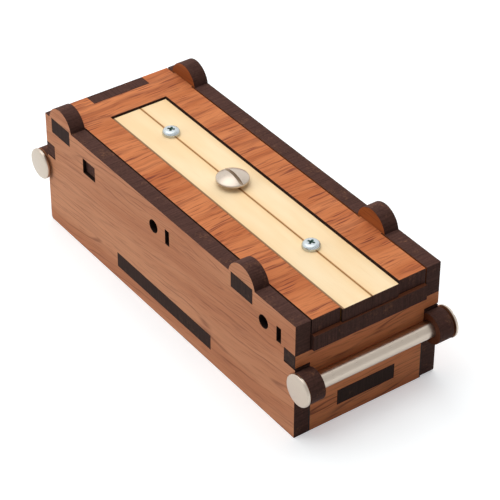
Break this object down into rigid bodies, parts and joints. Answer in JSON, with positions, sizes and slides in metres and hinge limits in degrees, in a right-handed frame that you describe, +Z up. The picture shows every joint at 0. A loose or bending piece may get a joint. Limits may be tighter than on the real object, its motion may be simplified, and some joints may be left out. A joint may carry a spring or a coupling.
{
  "type": "sliding lid box",
  "caption": "Long narrow plywood box with tabbed corners, a lid that slides out of a U-shaped top frame, a domed knob screw on the lid and a turning cross rod in ears at each end.",
  "frame": {"origin": "on the table, under the middle of the box", "axes": "+X to the right seen from the front, -Y towards the end that the lid slides out of, +Z up"},
  "size_m": [0.0548, 0.1434, 0.0445],
  "materials": {
    "mahogany": "mahogany-faced plywood, charred laser-cut edges, satin",
    "birch": "pale bare birch plywood, smooth",
    "zinc": "bluish zinc plating",
    "nickel": "satin nickel plating"
  },
  "bodies": {
    "box": {"left_side_panel": "mahogany", "right_side_panel": "mahogany", "front_end_panel": "mahogany", "rear_end_panel": "mahogany", "floor_panel": "mahogany", "top_frame": "mahogany", "stop_bar": "mahogany", "left_lid_rail": "mahogany", "right_lid_rail": "mahogany"},
    "lid": {"lid_runner": "mahogany", "left_lid_strip": "birch", "right_lid_strip": "birch", "front_lid_screw": "zinc", "rear_lid_screw": "zinc"},
    "knob": {"knob_barrel": "nickel", "knob_screw": "nickel"},
    "front_rod": {"front_rod_barrel": "nickel", "front_rod_screw": "nickel"},
    "rear_rod": {"rear_rod_barrel": "nickel", "rear_rod_screw": "nickel"}
  },
  "joints": [
    {"name": "lid_slide", "type": "slide", "parent": "box", "child": "lid", "axis": [0, -1, 0], "range_m": [0, 0.1]},
    {"name": "knob_turn", "type": "hinge", "parent": "lid", "child": "knob", "pos_m": [0.0004, 0.001, 0.04], "axis": [0, 0, 1], "continuous": true},
    {"name": "front_rod_spin", "type": "hinge", "parent": "box", "child": "front_rod", "pos_m": [0, -0.0667, 0.0195], "axis": [1, 0, 0], "continuous": true},
    {"name": "rear_rod_spin", "type": "hinge", "parent": "box", "child": "rear_rod", "pos_m": [0, 0.0667, 0.0195], "axis": [1, 0, 0], "continuous": true}
  ]
}
